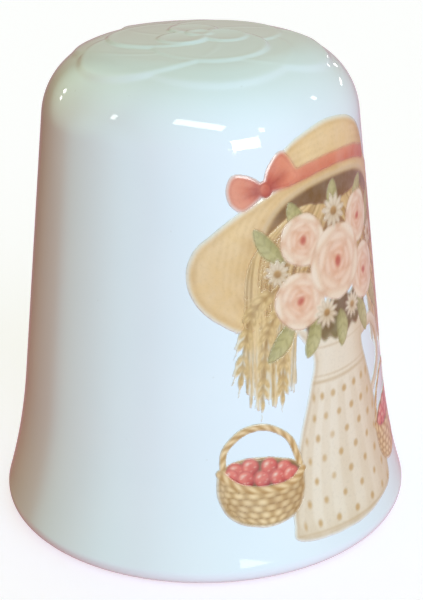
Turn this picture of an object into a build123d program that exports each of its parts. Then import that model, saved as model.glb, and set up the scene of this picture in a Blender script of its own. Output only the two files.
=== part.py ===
"""Glazed porcelain souvenir thimble with a moulded rose crown and a fired-on printed still life.

Frame: origin at the centre of the ground foot ring, +Z up, the print faces -Y. Units are millimetres.
"""
from build123d import *
import os
from math import cos, pi, radians, sin, sqrt, tan

# ---- outside shape, measured over the glaze ----
HEIGHT = 26.0  # ground foot ring to the top of the rose bud
FOOT_RADIUS = 11.2  # widest point of the flared foot
FOOT_ROUND = 0.8  # rounding under the flared foot
SKIRT_LEAN = 17.0  # lean of the skirt where it leaves the foot rounding, degrees
FLARE_RADIUS = 35.0  # hollow sweep between skirt and wall
WALL_LEAN = 6.35  # lean of the conical wall, degrees
SHOULDER_RADIUS = 3.8
SHOULDER_END = 84.0  # where the shoulder rounding meets the crown dome, degrees

# ---- bisque foot ring, glazes and print ----
RING_OUTER = 10.25  # flat ground ring that the thimble stands on
RING_INNER = 9.75
GLAZE_STOP = 50.0  # glaze ends this far round the foot rounding, degrees below level
GLAZE = 0.15
INNER_GLAZE = 0.12
PRINT_FILM = 0.05
SMALLEST_PATCH = 0.3  # square millimetres; the print has no island of ink smaller than this

# ---- finger cavity, measured over the inner glaze ----
MOUTH_RADIUS = 8.8
LIP_ROUND = 0.75
CEILING = 23.2
CEILING_ROUND = 2.6
CAVITY_LEAN = 6.35  # taper of the finger cavity, degrees

# ---- rose moulded on the crown: petals, plan radius, distance from axis, rise, turn (degrees) ----
ROSE_TIERS = [
    (3, 4.5, 2.3, 0.09, 233.0),
    (3, 3.7, 3.2, 0.14, 173.0),
    (3, 3.1, 1.9, 0.19, 238.0),
    (3, 1.45, 1.25, 0.26, 178.0),
    (1, 0.9, 0.0, 0.30, 0.0),
]
ROSE_RISE = max(tier[3] for tier in ROSE_TIERS)
PETAL_OVERLAP = 0.03  # the second petal of a tier lies this much lower, tucked under its neighbours
ROSE_FLOOR = 24.0  # petals start inside the crown at this height
PETAL_SEAM = 180.0  # turns the seam of each petal's round edge inwards, under the next tier, degrees


def polar(centre, radius, angle):
    """Point at an angle (degrees from the outward radial direction) round a profile arc."""
    return (centre[0] + radius * cos(radians(angle)), centre[1] + radius * sin(radians(angle)))


def arc(centre, radius, start, end):
    """Profile arc between two angles, in degrees."""
    return ThreePointArc(
        polar(centre, radius, start), polar(centre, radius, (start + end) / 2), polar(centre, radius, end)
    )


# ---- arc centres of the outside profile, as (radius, height) ----
FOOT_CENTRE = (FOOT_RADIUS - FOOT_ROUND, FOOT_ROUND)
FLARE_CENTRE = polar(FOOT_CENTRE, FOOT_ROUND + FLARE_RADIUS, SKIRT_LEAN)
WALL_START = polar(FLARE_CENTRE, -FLARE_RADIUS, WALL_LEAN)
CROWN_FLATTEN = (1 - sin(radians(SHOULDER_END))) / cos(radians(SHOULDER_END))
SHOULDER_WIDTH = SHOULDER_RADIUS * (cos(radians(WALL_LEAN)) - cos(radians(SHOULDER_END)))
SHOULDER_HEIGHT = SHOULDER_RADIUS * (sin(radians(SHOULDER_END)) - sin(radians(WALL_LEAN)))
WALL_RUN = (
    HEIGHT - ROSE_RISE - WALL_START[1] - SHOULDER_HEIGHT - CROWN_FLATTEN * (WALL_START[0] - SHOULDER_WIDTH)
) / (cos(radians(WALL_LEAN)) - CROWN_FLATTEN * sin(radians(WALL_LEAN)))
WALL_END = polar(WALL_START, WALL_RUN, WALL_LEAN + 90)
SHOULDER_CENTRE = polar(WALL_END, -SHOULDER_RADIUS, WALL_LEAN)
DOME_RADIUS = SHOULDER_RADIUS + SHOULDER_CENTRE[0] / cos(radians(SHOULDER_END))
DOME_DROP = SHOULDER_CENTRE[0] * tan(radians(SHOULDER_END))
DOME_CENTRE = (0.0, SHOULDER_CENTRE[1] - DOME_DROP)


def outer_edges(offset, foot_angle=-GLAZE_STOP):
    """Outside profile from the foot rounding to the axis, moved outwards by offset."""
    foot = arc(FOOT_CENTRE, FOOT_ROUND + offset, foot_angle, SKIRT_LEAN)
    flare = arc(FLARE_CENTRE, offset - FLARE_RADIUS, SKIRT_LEAN, WALL_LEAN)
    shoulder = arc(SHOULDER_CENTRE, SHOULDER_RADIUS + offset, WALL_LEAN, SHOULDER_END)
    wall = Line(flare @ 1, shoulder @ 0)
    dome = arc(DOME_CENTRE, DOME_RADIUS + offset, SHOULDER_END, 90.0)
    return [foot, flare, wall, shoulder, dome]


def spun(edges):
    """Solid of revolution from a closed profile given as (radius, height) edges."""
    return revolve(Plane.XZ * make_face(edges), Axis.Z)


def solid_outside(offset):
    """Whole thimble without its cavity, standing on the plane through its glaze line."""
    edges = outer_edges(offset)
    start, top = edges[0] @ 0, edges[-1] @ 1
    return spun(edges + [Polyline(top, (0, start.Y), start)])


def shell_outside(inner_offset, outer_offset):
    """Even coat over the outside between two offsets."""
    outer = outer_edges(outer_offset)
    inner = outer_edges(inner_offset)
    foot = Line(inner[0] @ 0, outer[0] @ 0)
    axis = Line(inner[-1] @ 1, outer[-1] @ 1)
    return spun(outer + inner + [foot, axis])


def rose(offset):
    """Overlapping petals of the crown rose, each a raised piece of the crown inside a round plan."""
    petals = []
    for count, plan_radius, reach, rise, turn in ROSE_TIERS:
        for index in range(count):
            lift = rise - PETAL_OVERLAP * (index % 2)
            spot = Rot(0, 0, turn + 360 * index / count) * Pos(reach, 0, ROSE_FLOOR)
            plan = spot * Rot(0, 0, PETAL_SEAM) * extrude(Circle(plan_radius + offset), HEIGHT)
            petals.append(plan & (Pos(0, 0, lift) * solid_outside(offset)))
    return petals


def cavity(offset):
    """Tapered finger cavity with a rolled lip and a domed ceiling; offset grows it into the wall."""
    lip_centre = (MOUTH_RADIUS + LIP_ROUND, LIP_ROUND)
    lip = arc(lip_centre, LIP_ROUND - offset, 180 + GLAZE_STOP, 180 + CAVITY_LEAN)
    corner_height = CEILING - CEILING_ROUND
    foot_of_wall = polar(lip_centre, -LIP_ROUND, CAVITY_LEAN)
    lean = radians(CAVITY_LEAN)
    run = (corner_height + CEILING_ROUND * sin(lean) - foot_of_wall[1]) / cos(lean)
    corner_centre = polar(polar(foot_of_wall, run, CAVITY_LEAN + 90), -CEILING_ROUND, CAVITY_LEAN)
    corner = arc(corner_centre, CEILING_ROUND + offset, CAVITY_LEAN, 90.0)
    wall = Line(lip @ 1, corner @ 0)
    ceiling = Line(corner @ 1, (0, (corner @ 1).Y))
    return [lip, wall, corner, ceiling]


def porcelain_body():
    """Slip-cast bisque body with the moulded rose, a ground foot ring and the finger cavity."""
    edges = outer_edges(-GLAZE)
    glaze_line, top = edges[0] @ 0, edges[-1] @ 1
    foot = Polyline(top, (0, 0), (RING_OUTER, 0), glaze_line)
    body = spun(edges + [foot]) + rose(-GLAZE)
    hollow = cavity(INNER_GLAZE)
    mouth, ceiling = hollow[0] @ 0, hollow[-1] @ 1
    return body - spun(hollow + [Polyline(ceiling, (0, 0), (RING_INNER, 0), mouth)])


def outer_glaze():
    """Clear glaze over the outside and the rose, stopping just above the ground foot ring."""
    return (shell_outside(-GLAZE, 0.0) + rose(0.0)) - ([solid_outside(-GLAZE)] + rose(-GLAZE))


def inner_glaze():
    """Clear glaze lining the finger cavity."""
    free, bonded = cavity(0.0), cavity(INNER_GLAZE)
    ends = [Line(free[0] @ 0, bonded[0] @ 0), Line(free[-1] @ 1, bonded[-1] @ 1)]
    return spun(free + bonded + ends)


# ---- print: flat artwork, s along the wall (mm from the middle of the print), z up ----
def wall_radius(z):
    """Outside radius of the glazed wall at a height."""
    if z < WALL_START[1]:
        return FLARE_CENTRE[0] - sqrt(FLARE_RADIUS**2 - (z - FLARE_CENTRE[1]) ** 2)
    if z > WALL_END[1]:
        return SHOULDER_CENTRE[0] + sqrt(SHOULDER_RADIUS**2 - (z - SHOULDER_CENTRE[1]) ** 2)
    share = (z - WALL_START[1]) / (WALL_END[1] - WALL_START[1])
    return WALL_START[0] + share * (WALL_END[0] - WALL_START[0])


def wrapped(point):
    """Where a point of the flat artwork lands in the front elevation, once laid round the wall."""
    s, z = point
    radius = wall_radius(z)
    return (radius * sin(s / radius), z)


def patch(points):
    """Smooth closed patch of ink through points of the flat artwork."""
    return make_face(Spline([wrapped(p) for p in points], periodic=True))


def oval(centre, half_width, half_height, turn=0.0, points=12):
    """Oval patch of ink, turned by some degrees."""
    c, s = cos(radians(turn)), sin(radians(turn))
    outline = []
    for index in range(points):
        angle = 2 * pi * index / points
        u, v = half_width * cos(angle), half_height * sin(angle)
        outline.append((centre[0] + u * c - v * s, centre[1] + u * s + v * c))
    return patch(outline)


def strip(start, middle, end, half_width, end_half_width=None):
    """Curved tapering stroke of ink through three points of the flat artwork."""
    last = half_width if end_half_width is None else end_half_width
    steps = 6
    left, right = [], []
    for index in range(steps + 1):
        t = index / steps
        weights = ((1 - t) * (1 - 2 * t), 4 * t * (1 - t), t * (2 * t - 1))
        slopes = (4 * t - 3, 4 - 8 * t, 4 * t - 1)
        s = sum(w * p[0] for w, p in zip(weights, (start, middle, end)))
        z = sum(w * p[1] for w, p in zip(weights, (start, middle, end)))
        ds = sum(w * p[0] for w, p in zip(slopes, (start, middle, end)))
        dz = sum(w * p[1] for w, p in zip(slopes, (start, middle, end)))
        width = (half_width + (last - half_width) * t) / sqrt(ds * ds + dz * dz)
        left.append((s - dz * width, z + ds * width))
        right.append((s + dz * width, z - ds * width))
    return make_face(Polyline([wrapped(p) for p in left + right[::-1]], close=True))


def both_sides(art):
    """Artwork together with its mirror image about the middle of the print."""
    return art + mirror(art, about=Plane.YZ)


def basket_art():
    """Two wicker bowls with arched handles, one on each side of the jug."""
    bowl = patch([(-7.45, 6.0), (-7.75, 4.9), (-7.5, 3.9), (-6.65, 3.25), (-5.25, 3.05), (-3.95, 3.4),
                  (-3.3, 4.3), (-3.15, 5.55), (-4.0, 6.25), (-5.3, 6.5), (-6.6, 6.45)])
    arch = oval((-5.35, 6.1), 2.15, 2.15) - oval((-5.35, 6.1), 1.85, 1.85)
    return both_sides((bowl + arch) - berry_heap())


def berry_heap():
    """Heap of berries in the left-hand basket."""
    heap = [(-6.7, 5.9), (-5.95, 6.1), (-5.0, 6.05), (-4.2, 5.9), (-6.2, 5.55), (-5.4, 5.45), (-4.5, 5.45)]
    return Sketch() + [oval(centre, 0.56, 0.48) for centre in heap]


def berries_art():
    """Berries in both baskets."""
    return both_sides(berry_heap())


def jug_art():
    """Tall spotted milk jug with a spout and a side handle."""
    body = patch([(-3.7, 1.85), (0.1, 1.6), (3.9, 1.85), (4.25, 2.8), (3.8, 5.0), (3.15, 7.4), (2.4, 9.6),
                  (2.05, 10.9), (2.25, 12.3), (0.3, 12.1), (-1.5, 12.35), (-2.8, 12.9), (-2.05, 11.7),
                  (-1.85, 10.9), (-2.2, 9.6), (-2.95, 7.4), (-3.6, 5.0), (-4.05, 2.8)])
    handle = oval((2.4, 9.6), 2.2, 2.2) - oval((2.4, 9.6), 1.65, 1.65)
    return body + (handle - oval((0.2, 10.0), 2.2, 4.0))


def blooms_art():
    """Five garden roses and five daisies above the jug."""
    roses = [((0.3, 15.7), 2.0), ((-2.0, 17.3), 1.35), ((2.5, 17.4), 1.35), ((-2.4, 14.3), 1.5),
             ((2.9, 14.4), 1.5)]
    daisies = [((0.2, 18.3), 0.8), ((-3.6, 15.9), 0.7), ((4.2, 16.0), 0.7), ((-0.8, 13.3), 0.8),
               ((1.3, 13.1), 0.7)]
    return Sketch() + [oval(centre, radius, radius) for centre, radius in roses + daisies]


def leaves_art():
    """Leaves tucked round the flowers."""
    leaves = [((-3.7, 12.5), 1.25, 232), ((-3.9, 17.3), 1.15, 128), ((4.3, 17.4), 1.15, 52),
              ((4.1, 12.6), 1.25, -52), ((-1.9, 12.3), 1.05, 250), ((2.3, 12.2), 1.05, -68),
              ((0.3, 18.9), 0.95, 92)]
    mound = oval((0.2, 12.9), 2.4, 0.9)
    return mound + [oval(centre, length, 0.45, turn) for centre, length, turn in leaves]


def wheat_art():
    """Swathes of wheat and dried grass that hang on both sides of the flowers."""
    left = strip((-2.0, 18.4), (-4.5, 15.4), (-5.3, 9.6), 0.9, 0.75)
    right = strip((2.6, 18.4), (5.0, 15.4), (5.8, 9.8), 0.9, 0.75)
    return left + right


def ribbon_art():
    """Hat band with a bow."""
    band = strip((-2.6, 20.42), (0.7, 20.86), (4.15, 20.25), 0.38, 0.42)
    loops = patch([(-3.95, 20.15), (-4.5, 20.72), (-5.3, 20.88), (-5.68, 20.3), (-5.6, 19.6), (-5.1, 19.2),
                   (-4.5, 19.5)])
    loops += patch([(-3.8, 20.1), (-3.7, 20.9), (-3.2, 21.6), (-2.75, 21.75), (-2.3, 21.2), (-1.95, 20.5),
                    (-2.5, 20.12), (-3.2, 20.0)])
    return band + loops + oval((-3.85, 20.12), 0.38, 0.4)


def hat_art():
    """Wide-brimmed straw hat above the flowers."""
    brim = patch([(-8.0, 16.1), (-7.5, 17.3), (-6.3, 18.3), (-4.7, 19.3), (-2.4, 20.3), (0.5, 20.75),
                  (3.6, 20.3), (5.6, 19.3), (7.2, 18.2), (8.1, 16.7), (7.9, 15.2), (6.9, 14.0), (5.4, 13.3),
                  (3.6, 14.3), (0.3, 15.0), (-3.2, 14.3), (-5.2, 13.2), (-6.7, 13.8), (-7.7, 14.8)])
    crown = patch([(-3.1, 20.2), (-2.95, 21.3), (-2.0, 22.2), (0.2, 22.75), (2.4, 22.4), (3.8, 21.4),
                   (4.3, 20.0), (2.4, 20.0), (0.4, 20.0), (-1.6, 20.0)])
    return brim + crown


MOTIFS = {  # nearest first: each motif is printed only where no nearer one covers it
    "print_basket": basket_art,
    "print_berries": berries_art,
    "print_jug": jug_art,
    "print_blooms": blooms_art,
    "print_leaves": leaves_art,
    "print_wheat": wheat_art,
    "print_ribbon": ribbon_art,
    "print_hat": hat_art,
}


def print_films():
    """One thin fired-on film of ink per motif, laid on the glazed wall."""
    coat = shell_outside(0.0, PRINT_FILM)
    films, covered = {}, Sketch()
    for name, art in MOTIFS.items():
        flat = Sketch() + [face for face in (art() - covered).faces() if face.area > SMALLEST_PATCH]
        films[name] = extrude(Plane.XZ * flat, FOOT_RADIUS + 1) & coat
        covered = covered + flat
    return films


def main():
    os.makedirs("parts", exist_ok=True)
    pieces = {"porcelain_body": porcelain_body(), "outer_glaze": outer_glaze(), "inner_glaze": inner_glaze()}
    pieces.update(print_films())
    for name, piece in pieces.items():
        export_step(piece, f"parts/{name}.step")


main()
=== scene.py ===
from copy import copy
from math import cos, hypot, pi, radians, sin, tan

import bpy
import numpy as np
from mathutils import Matrix, Vector


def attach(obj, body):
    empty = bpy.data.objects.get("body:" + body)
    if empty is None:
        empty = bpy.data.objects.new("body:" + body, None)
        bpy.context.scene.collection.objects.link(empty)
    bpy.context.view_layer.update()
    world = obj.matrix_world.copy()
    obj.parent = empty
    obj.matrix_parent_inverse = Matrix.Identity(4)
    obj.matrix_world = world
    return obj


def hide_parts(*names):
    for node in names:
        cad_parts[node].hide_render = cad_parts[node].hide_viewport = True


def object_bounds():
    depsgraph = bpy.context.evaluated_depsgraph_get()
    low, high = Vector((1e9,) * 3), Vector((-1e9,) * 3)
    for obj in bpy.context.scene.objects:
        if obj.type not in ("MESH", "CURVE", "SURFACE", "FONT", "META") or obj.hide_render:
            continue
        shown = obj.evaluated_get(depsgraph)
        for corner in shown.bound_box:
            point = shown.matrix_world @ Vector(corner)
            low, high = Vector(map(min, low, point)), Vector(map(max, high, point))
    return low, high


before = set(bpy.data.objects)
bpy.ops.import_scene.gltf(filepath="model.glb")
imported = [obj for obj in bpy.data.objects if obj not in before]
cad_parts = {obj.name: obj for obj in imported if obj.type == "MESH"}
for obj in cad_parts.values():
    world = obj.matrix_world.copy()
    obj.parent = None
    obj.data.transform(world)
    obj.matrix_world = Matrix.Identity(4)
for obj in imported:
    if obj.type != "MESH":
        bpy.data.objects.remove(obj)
cad_box = [list(corner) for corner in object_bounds()]

MM = 0.001  # shapes are worked out in millimetres and built in metres

# ---- outside shape, over the glaze (mm)
HEIGHT = cad_box[1][2] / MM
FOOT_RADIUS = cad_box[1][0] / MM
FOOT_ROUND = 0.8
SKIRT_LEAN = 17.0
FLARE_RADIUS = 35.0
WALL_LEAN = 6.35
SHOULDER_RADIUS = 3.8
SHOULDER_END = 84.0
GLAZE_STOP = 50.0
GLAZE = 0.15
INNER_GLAZE = 0.12
RING_OUTER = 10.25
RING_INNER = 9.75
RING_CORNER = 0.05
MOUTH_RADIUS = 8.8
LIP_ROUND = 0.75
CEILING = 23.2
CEILING_ROUND = 2.6

# rose on the crown: petals, plan radius, distance from axis, rise, turn (degrees)
ROSE_TIERS = [
    (3, 4.5, 2.3, 0.09, 233.0),
    (3, 3.7, 3.2, 0.14, 173.0),
    (3, 3.1, 1.9, 0.19, 238.0),
    (3, 1.45, 1.25, 0.26, 178.0),
    (1, 0.9, 0.0, 0.3, 0.0),
]
ROSE_RISE = max(tier[3] for tier in ROSE_TIERS)

# points along each part of the profiles, and round the axis
OUTSIDE_ROWS = {"foot": 12, "flare": 24, "wall": 22, "shoulder": 60, "dome": 58}
CAVITY_ROWS = {"lip": 14, "wall": 24, "corner": 20, "ceiling": 8}
GLAZE_EDGE_ROWS = 9
FINE, COARSE = 1.9, 0.5  # share of the outside rows on a seen face and on a bonded one
FINE_AROUND, COARSE_AROUND = 384, 192


def cosd(angle):
    """Cosine of an angle in degrees."""
    return cos(radians(angle))


def sind(angle):
    """Sine of an angle in degrees."""
    return sin(radians(angle))


def polar(centre, radius, angle):
    """Point at an angle and a distance from a centre."""
    return (centre[0] + radius * cosd(angle), centre[1] + radius * sind(angle))


FOOT_CENTRE = (FOOT_RADIUS - FOOT_ROUND, FOOT_ROUND)
FLARE_CENTRE = polar(FOOT_CENTRE, FOOT_ROUND + FLARE_RADIUS, SKIRT_LEAN)
WALL_START = polar(FLARE_CENTRE, -FLARE_RADIUS, WALL_LEAN)
CROWN_FLATTEN = (1 - sind(SHOULDER_END)) / cosd(SHOULDER_END)
SHOULDER_WIDTH = SHOULDER_RADIUS * (cosd(WALL_LEAN) - cosd(SHOULDER_END))
SHOULDER_HEIGHT = SHOULDER_RADIUS * (sind(SHOULDER_END) - sind(WALL_LEAN))
WALL_RUN = (
    HEIGHT - ROSE_RISE - WALL_START[1] - SHOULDER_HEIGHT - CROWN_FLATTEN * (WALL_START[0] - SHOULDER_WIDTH)
) / (cosd(WALL_LEAN) - CROWN_FLATTEN * sind(WALL_LEAN))
WALL_END = polar(WALL_START, WALL_RUN, WALL_LEAN + 90)
SHOULDER_CENTRE = polar(WALL_END, -SHOULDER_RADIUS, WALL_LEAN)
DOME_DROP = SHOULDER_CENTRE[0] * tan(radians(SHOULDER_END))
DOME_CENTRE = (0.0, SHOULDER_CENTRE[1] - DOME_DROP)
DOME_RADIUS = SHOULDER_RADIUS + SHOULDER_CENTRE[0] / cosd(SHOULDER_END)


def arc_points(centre, radius, start, end, count):
    """Points along a profile arc, both ends included."""
    return [polar(centre, radius, start + (end - start) * k / (count - 1)) for k in range(count)]


def straight_points(start, end, count):
    """Points strictly between two profile points."""
    shares = range(1, count + 1)
    return [tuple(a + (b - a) * k / (count + 1) for a, b in zip(start, end)) for k in shares]


def outside_profile(offset, fineness):
    """Outside from the glaze line up to the pole, moved out by offset."""
    rows = {part: int(count * fineness) for part, count in OUTSIDE_ROWS.items()}
    foot = arc_points(FOOT_CENTRE, FOOT_ROUND + offset, -GLAZE_STOP, SKIRT_LEAN, rows["foot"])
    flare = arc_points(FLARE_CENTRE, offset - FLARE_RADIUS, SKIRT_LEAN, WALL_LEAN, rows["flare"])
    shoulder_radius = SHOULDER_RADIUS + offset
    shoulder = arc_points(SHOULDER_CENTRE, shoulder_radius, WALL_LEAN, SHOULDER_END, rows["shoulder"])
    wall = straight_points(flare[-1], shoulder[0], rows["wall"])
    dome = arc_points(DOME_CENTRE, DOME_RADIUS + offset, SHOULDER_END, 90.0, rows["dome"])
    return foot + flare[1:] + wall + shoulder + dome[1:-1] + [(0.0, dome[-1][1])]


def cavity_profile(offset):
    """Finger cavity from the lip up to the pole; offset grows it into the wall."""
    rows = CAVITY_ROWS
    lip_centre = (MOUTH_RADIUS + LIP_ROUND, LIP_ROUND)
    lip = arc_points(lip_centre, LIP_ROUND - offset, 180 + GLAZE_STOP, 180 + WALL_LEAN, rows["lip"])
    foot_of_wall = polar(lip_centre, -LIP_ROUND, WALL_LEAN)
    rise = CEILING - CEILING_ROUND + CEILING_ROUND * sind(WALL_LEAN) - foot_of_wall[1]
    wall_end = polar(foot_of_wall, rise / cosd(WALL_LEAN), WALL_LEAN + 90)
    corner_centre = polar(wall_end, -CEILING_ROUND, WALL_LEAN)
    corner = arc_points(corner_centre, CEILING_ROUND + offset, WALL_LEAN, 90.0, rows["corner"])
    wall = straight_points(lip[-1], corner[0], rows["wall"])
    ceiling = straight_points(corner[-1], (0.0, corner[-1][1]), rows["ceiling"])
    return lip + wall + corner + ceiling + [(0.0, corner[-1][1])]


def wall_radius(z):
    """Radius of the glazed wall at heights z."""
    below = np.minimum(z, WALL_START[1]) - FLARE_CENTRE[1]
    flare = FLARE_CENTRE[0] - np.sqrt(FLARE_RADIUS**2 - below**2)
    share = (z - WALL_START[1]) / (WALL_END[1] - WALL_START[1])
    wall = WALL_START[0] + share * (WALL_END[0] - WALL_START[0])
    above = np.clip(z - SHOULDER_CENTRE[1], 0, SHOULDER_RADIUS)
    shoulder = SHOULDER_CENTRE[0] + np.sqrt(SHOULDER_RADIUS**2 - above**2)
    return np.where(z < WALL_START[1], flare, np.where(z > WALL_END[1], shoulder, wall))


# ---- fields of numbers
def smooth(t):
    """Soft step from 0 to 1."""
    t = np.clip(t, 0.0, 1.0)
    return t * t * (3 - 2 * t)


def blurred(field, sigma):
    """Gaussian blur of a square field, sigma in cells."""
    reach = int(3 * sigma) + 1
    weights = np.exp(-0.5 * (np.arange(-reach, reach + 1) / sigma) ** 2)
    weights /= weights.sum()
    for axis in (0, 1):
        padded = np.pad(field, [(reach, reach) if a == axis else (0, 0) for a in (0, 1)], mode="edge")
        size = field.shape[axis]
        field = sum(w * padded.take(range(k, k + size), axis=axis) for k, w in enumerate(weights))
    return field


def sampled(field, u, v, ease=np.positive):
    """Square field between its grid points, at u and v in cells; it repeats beyond its edges."""
    size = len(field)
    i, j = np.floor(u).astype(int), np.floor(v).astype(int)
    fu, fv = ease(u - i), ease(v - j)
    i, j, next_i, next_j = i % size, j % size, (i + 1) % size, (j + 1) % size
    low = field[j, i] * (1 - fu) + field[j, next_i] * fu
    high = field[next_j, i] * (1 - fu) + field[next_j, next_i] * fu
    return low * (1 - fv) + high * fv


# ---- rose relief
ROSE_REACH = 8.2  # half width of the relief field
ROSE_STEP = 0.04
PETAL_EDGE = 0.26  # width of the soft step at a petal's edge
PETAL_TILT = 0.03  # one side of a petal overlaps its neighbour
PETAL_RIM = 0.018  # rolled rim just inside the edge
PETAL_RIM_IN = 0.36
PETAL_RIM_WIDTH = 0.22
PETAL_HOLLOW = 0.03
HOLLOW_RATE = 1.6  # how soon the hollow begins inside the rim
GLAZE_SOFTENING = 0.07  # how far the glaze rounds the modelling off


def rose_relief():
    """Height field of the rose over a square plan."""
    axis = np.arange(-ROSE_REACH, ROSE_REACH + ROSE_STEP / 2, ROSE_STEP)
    x, y = np.meshgrid(axis, axis)
    relief = np.zeros_like(x)
    for count, plan_radius, reach, rise, turn in ROSE_TIERS:
        for index in range(count):
            angle = radians(turn + 360 * index / count)
            outward = x * cos(angle) + y * sin(angle) - reach
            across = y * cos(angle) - x * sin(angle)
            inside = plan_radius - np.hypot(outward, across)
            level = rise + PETAL_TILT * across / plan_radius
            level += PETAL_RIM * np.exp(-(((inside - PETAL_RIM_IN) / PETAL_RIM_WIDTH) ** 2))
            level -= PETAL_HOLLOW * smooth((inside - PETAL_RIM_IN) / plan_radius * HOLLOW_RATE)
            relief = np.maximum(relief, level * smooth(inside / PETAL_EDGE))
    relief = blurred(relief, GLAZE_SOFTENING / ROSE_STEP)
    return relief * ROSE_RISE / relief.max()


RELIEF = rose_relief()


def relief_at(x, y):
    """Rose height at plan points."""
    last = len(RELIEF) - 1.001
    u, v = (np.clip((place + ROSE_REACH) / ROSE_STEP, 0, last) for place in (x, y))
    return sampled(RELIEF, u, v)


# ---- meshes
def placed(name, data):
    """New object in the scene."""
    thing = bpy.data.objects.new(name, data)
    bpy.context.scene.collection.objects.link(thing)
    return thing


def mesh_object(name, points, faces, smooth_faces=None):
    """Object from points in mm and a list of faces."""
    mesh = bpy.data.meshes.new(name)
    mesh.from_pydata((np.asarray(points) * MM).tolist(), [], faces)
    flags = np.ones(len(faces), bool) if smooth_faces is None else smooth_faces
    mesh.polygons.foreach_set("use_smooth", flags)
    mesh.update()
    return placed(name, mesh)


def spun(name, profile, around, carries=()):
    """Closed surface spun from a profile that starts and ends on the axis. The points with an index in
    carries carry the rose relief."""
    angles = 2 * pi * np.arange(around) / around
    points, rings = [], []
    for index, (radius, height) in enumerate(profile):
        if radius == 0.0:
            lift = float(relief_at(np.zeros(1), np.zeros(1))[0]) if index in carries else 0.0
            rings.append([len(points)])
            points.append((0.0, 0.0, height + lift))
            continue
        x, y = radius * np.cos(angles), radius * np.sin(angles)
        z = height + (relief_at(x, y) if index in carries else np.zeros(around))
        rings.append(list(range(len(points), len(points) + around)))
        points.extend(zip(x, y, z))
    faces = []
    for low, high in zip(rings, rings[1:]):
        for k in range(around):
            n = (k + 1) % around
            if len(low) == 1:
                faces.append((low[0], high[n], high[k]))
            elif len(high) == 1:
                faces.append((low[k], low[n], high[0]))
            else:
                faces.append((low[k], low[n], high[n], high[k]))
    return mesh_object(name, points, faces)


def rose_carriers(profile, start=0):
    """Indices of the profile points, from start on, that lie under the rose."""
    return {k for k, (radius, height) in enumerate(profile)
            if k >= start and height > SHOULDER_CENTRE[1] and radius < ROSE_REACH}


def make_outer_glaze():
    """Glaze outside: bonded face, rounded edge at the glaze line, free face."""
    middle = polar(FOOT_CENTRE, FOOT_ROUND - GLAZE / 2, -GLAZE_STOP)
    edge = arc_points(middle, GLAZE / 2, 180 - GLAZE_STOP, 360 - GLAZE_STOP, GLAZE_EDGE_ROWS)[1:-1]
    profile = outside_profile(-GLAZE, COARSE)[::-1] + edge + outside_profile(0.0, FINE)
    return spun("glaze_outside", profile, FINE_AROUND, rose_carriers(profile))


def make_inner_glaze():
    """Glaze lining the finger cavity."""
    return spun("glaze_inside", cavity_profile(0.0)[::-1] + cavity_profile(INNER_GLAZE), COARSE_AROUND)


def make_bisque():
    """Bisque body: cavity, ground foot ring, outside under the glaze."""
    cavity = cavity_profile(INNER_GLAZE)
    ring = [(RING_INNER - RING_CORNER, RING_CORNER * 0.5), (RING_INNER + RING_CORNER, 0.0),
            (RING_OUTER - RING_CORNER, 0.0), (RING_OUTER + RING_CORNER, RING_CORNER * 0.5)]
    profile = cavity[::-1] + ring + outside_profile(-GLAZE, COARSE)
    return spun("bisque_body", profile, COARSE_AROUND, rose_carriers(profile, len(cavity) + len(ring)))


# ---- flat artwork
SLOTS = {  # the motifs, each with its material slot
    "hat": "ink_straw", "ribbon": "ink_pink", "wheat": "ink_honey", "leaves": "ink_olive",
    "blooms": "ink_peach", "jug": "ink_cream", "berries": "ink_berry", "basket": "ink_straw",
}
MOTIFS = ["bare", *SLOTS]
ART_S = (-8.6, 8.7)  # extent of the artwork round the wall and up it, mm
ART_Z = (1.2, 23.2)
ART_STEP = 0.06
NOISE_CELLS = (0.22, 0.7, 2.2)  # blotches of the fine, middle and wide noise, mm
NOISE_SPREAD = 0.6
OWNS, TOUCHES = 0.45, 0.02  # cover from which a motif owns a cell, and below which it never does


def ink(r, g, b):
    """Colour from 8-bit sRGB values."""
    return np.array([r, g, b], float) / 255.0


WHITE = ink(236, 242, 247)
STRAW_LIGHT, STRAW = ink(250, 220, 172), ink(234, 196, 142)
STRAW_DEEP, STRAW_DARK, STRAW_SHADE = ink(198, 152, 92), ink(156, 112, 60), ink(112, 78, 44)
HONEY_LIGHT, HONEY, HONEY_DEEP = ink(242, 212, 156), ink(216, 182, 124), ink(172, 132, 76)
PINK_LIGHT, PINK = ink(240, 152, 120), ink(221, 118, 92)
PINK_DEEP, PINK_DARK = ink(192, 78, 62), ink(148, 48, 44)
PEACH_LIGHT, PEACH, PEACH_DEEP = ink(255, 244, 228), ink(249, 229, 205), ink(233, 192, 164)
CREAM_LIGHT, CREAM = ink(248, 236, 220), ink(240, 222, 199)
CREAM_DEEP, CREAM_LINE = ink(218, 192, 158), ink(192, 162, 128)
BERRY_LIGHT, BERRY, BERRY_DARK = ink(246, 146, 130), ink(224, 92, 86), ink(166, 48, 52)
OLIVE_LIGHT, OLIVE, OLIVE_DARK = ink(204, 196, 142), ink(176, 168, 110), ink(126, 114, 66)
OCHRE = ink(206, 164, 108)


def cloud(s, z, cell, seed):
    """Smooth seeded noise, about -1 to 1, with blotches of one cell (mm)."""
    size = 128
    lattice = np.random.default_rng(seed).standard_normal((size, size)) * NOISE_SPREAD
    return sampled(lattice, s / cell + size, z / cell + size, smooth)


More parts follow.
